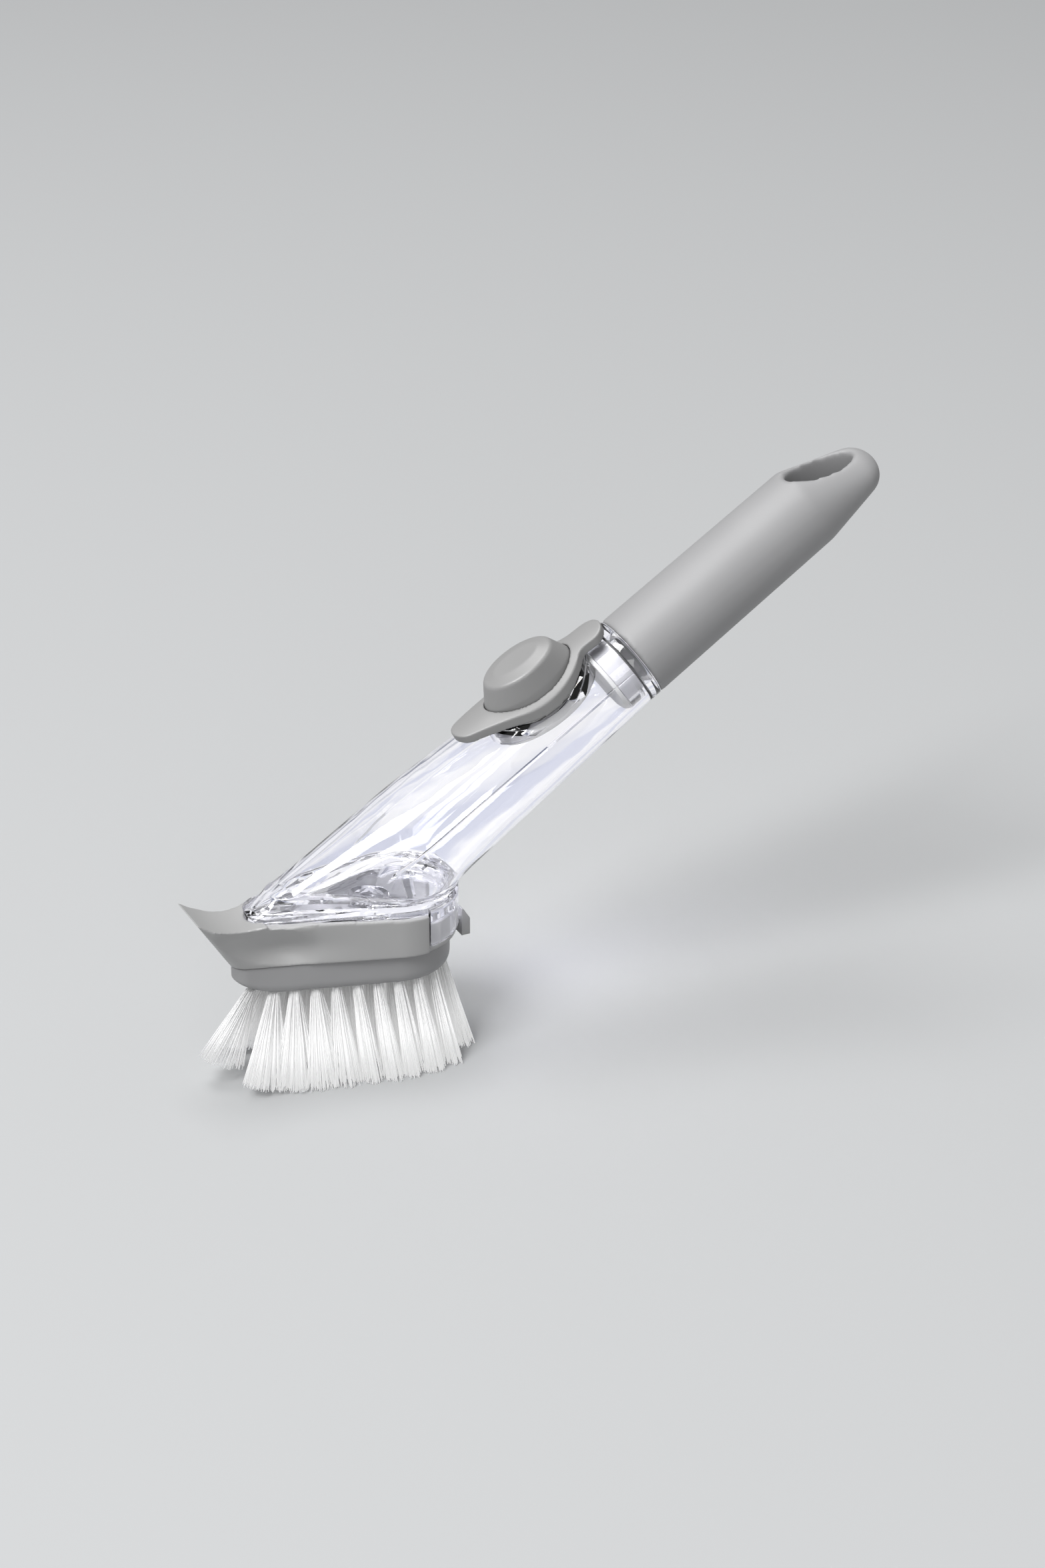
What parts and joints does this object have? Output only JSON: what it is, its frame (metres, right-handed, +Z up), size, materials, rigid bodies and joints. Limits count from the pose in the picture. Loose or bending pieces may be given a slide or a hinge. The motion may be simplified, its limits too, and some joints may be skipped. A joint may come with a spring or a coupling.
{
  "type": "soap dispensing dish wand",
  "caption": "Hand-held dish wand with a clear soap tank, soft grip, press button in a pull-out lid and a slide-off scrub head with a scraper nose.",
  "frame": {"origin": "on the plane of the bristle tips, on the head's centre line, under the middle of the head", "axes": "+X from the scraper nose towards the grip, +Y sideways, +Z up from the bristle tips through the head"},
  "size_m": [0.2486, 0.055, 0.1805],
  "materials": {
    "clear_plastic": "clear polished",
    "clear_silicone": "milky satin",
    "dark_rubber": "matte",
    "inner_grey": "satin",
    "soft_grip": "soft matte",
    "lid_grey": "satin",
    "head_grey": "satin",
    "nylon": "semi-gloss white"
  },
  "bodies": {
    "wand": {"reservoir_shell": "clear_plastic", "foot_plate": "clear_plastic", "outlet_valve": "clear_silicone", "valve_ring": "clear_plastic", "handle_core": "clear_plastic", "mouth_gasket": "dark_rubber", "core_plug": "inner_grey", "grip_sleeve": "soft_grip"},
    "lid": {"pump_lid": "lid_grey", "lid_cup": "inner_grey", "lid_seal": "dark_rubber", "pump_bellows": "clear_silicone"},
    "button": {"pump_button": "lid_grey"},
    "head": {"head_carrier": "head_grey", "brush_block": "head_grey", "inlet_gasket": "clear_silicone", "bristles": "nylon"},
    "latch": {"release_latch": "head_grey"}
  },
  "joints": [
    {"name": "lid_pull", "type": "slide", "parent": "wand", "child": "lid", "axis": [-0.4939, 0, 0.8695], "range_m": [0, 0.018]},
    {"name": "button_press", "type": "slide", "parent": "lid", "child": "button", "axis": [0.4939, 0, -0.8695], "range_m": [0, 0.0035], "stiffness_N_per_m": 900, "deforming": ["pump_bellows"]},
    {"name": "head_slide", "type": "slide", "parent": "wand", "child": "head", "axis": [-1, 0, 0], "range_m": [0, 0.078]},
    {"name": "latch_press", "type": "hinge", "parent": "head", "child": "latch", "pos_m": [0.027, 0, 0.0428], "axis": [0, 1, 0], "range_deg": [0, 9], "stiffness_Nm_per_rad": 1.5}
  ]
}
